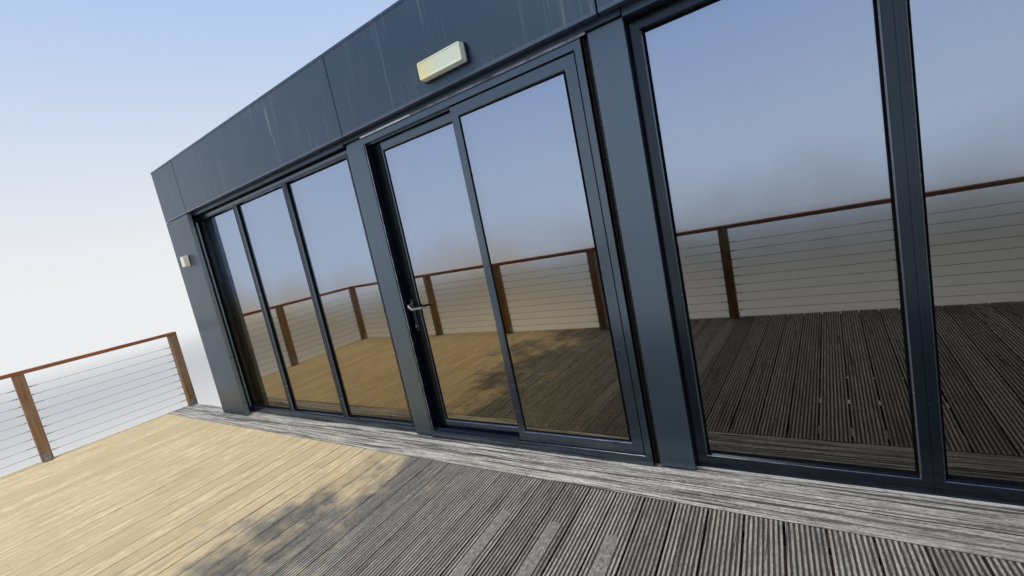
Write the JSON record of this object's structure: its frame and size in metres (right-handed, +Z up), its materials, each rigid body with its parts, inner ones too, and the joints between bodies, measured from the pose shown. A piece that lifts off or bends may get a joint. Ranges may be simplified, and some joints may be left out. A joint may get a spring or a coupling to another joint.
{
  "type": "raised timber deck with a flat-roofed cabin",
  "caption": "Flat-roofed sheet-clad cabin with a fully glazed front and a sliding door, on a raised timber deck with a wire balustrade.",
  "frame": {"origin": "on the ground, under the middle of the whole footprint", "axes": "+X along the glazed front towards its right end as seen from the deck, +Y from the deck to the back of the cabin, +Z up"},
  "size_m": [11.275, 7.05, 4.133],
  "materials": {
    "dark_panel": "satin",
    "dark_frame": "satin",
    "grey_glass": "polished",
    "handle_metal": "brushed",
    "light_base": "matte",
    "light_cover": "satin",
    "white_metal": "satin",
    "deck_wood": "weathered",
    "rail_wood": "oiled",
    "frame_wood": "sawn",
    "wire_steel": "brushed",
    "insulated_panel": "matte",
    "roof_sheet": "matte"
  },
  "bodies": {
    "cabin": {"bearers": "frame_wood", "border_boards": "deck_wood", "bulkhead_light_base": "light_base", "bulkhead_light_cover": "light_cover", "cabin_floor": "insulated_panel", "cabin_posts": "frame_wood", "column_lights": "white_metal", "corner_columns": "dark_panel", "corner_piers": "dark_panel", "deck_boards": "deck_wood", "deck_end_rims": "deck_wood", "deck_front_rim": "deck_wood", "deck_joists": "frame_wood", "deck_posts": "frame_wood", "door_frame": "dark_frame", "door_side_filler": "dark_frame", "fixed_leaf": "dark_frame", "fixed_leaf_glass": "grey_glass", "floor_skirts": "dark_panel", "front_fascia": "dark_panel", "front_hand_rail": "rail_wood", "front_rail_wires": "wire_steel", "head_bands": "dark_panel", "knee_braces": "frame_wood", "left_rail_wires": "wire_steel", "left_window_frame": "dark_frame", "long_parapets": "roof_sheet", "pilasters": "dark_panel", "rail_posts": "rail_wood", "rear_cladding": "dark_panel", "rear_fascia": "dark_panel", "rear_wall": "insulated_panel", "right_rail_wires": "wire_steel", "right_window_frame": "dark_frame", "roof": "roof_sheet", "roof_edge_trim": "dark_panel", "side_cladding": "dark_panel", "side_fascias": "dark_panel", "side_hand_rails": "rail_wood", "side_parapets": "roof_sheet", "side_walls": "insulated_panel", "window_glass": "grey_glass"},
    "door_leaf": {"sliding_leaf": "dark_frame", "sliding_leaf_glass": "grey_glass", "door_handle": "handle_metal"}
  },
  "joints": [
    {"name": "door_slide", "type": "slide", "parent": "cabin", "child": "door_leaf", "axis": [1, 0, 0], "range_m": [0, 0.6]}
  ]
}
